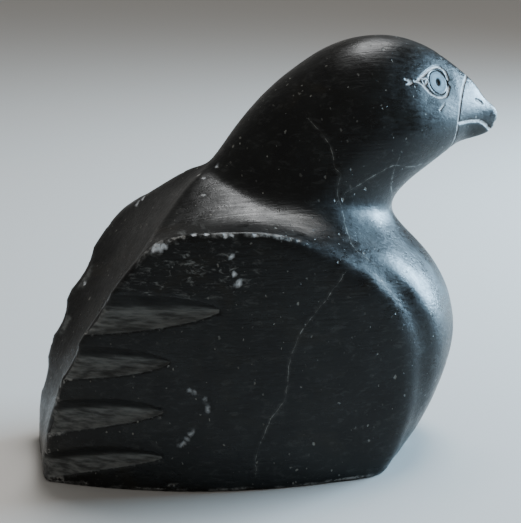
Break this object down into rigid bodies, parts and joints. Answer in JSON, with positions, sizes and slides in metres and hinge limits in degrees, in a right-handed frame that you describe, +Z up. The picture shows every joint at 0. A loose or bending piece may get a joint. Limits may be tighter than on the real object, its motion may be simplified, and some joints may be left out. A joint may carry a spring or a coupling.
{
  "type": "soapstone bird carving",
  "caption": "Dark polished soapstone bird, seated flat on its base with head leaning forward, short hooked bill and broad wings with gouged feather grooves",
  "frame": {"origin": "centre of the flat underside, under the middle of the bounding box", "axes": "+X is the way the bird faces, +Y its left side, +Z up"},
  "size_m": [0.1116, 0.0586, 0.0983],
  "materials": {
    "soapstone": "near-black waxed and hand-polished soapstone, semi-gloss, with pale hairline veins, scuffs and matte grey gouged grooves"
  },
  "bodies": {
    "root": {"bird_carving": "soapstone"}
  },
  "joints": []
}
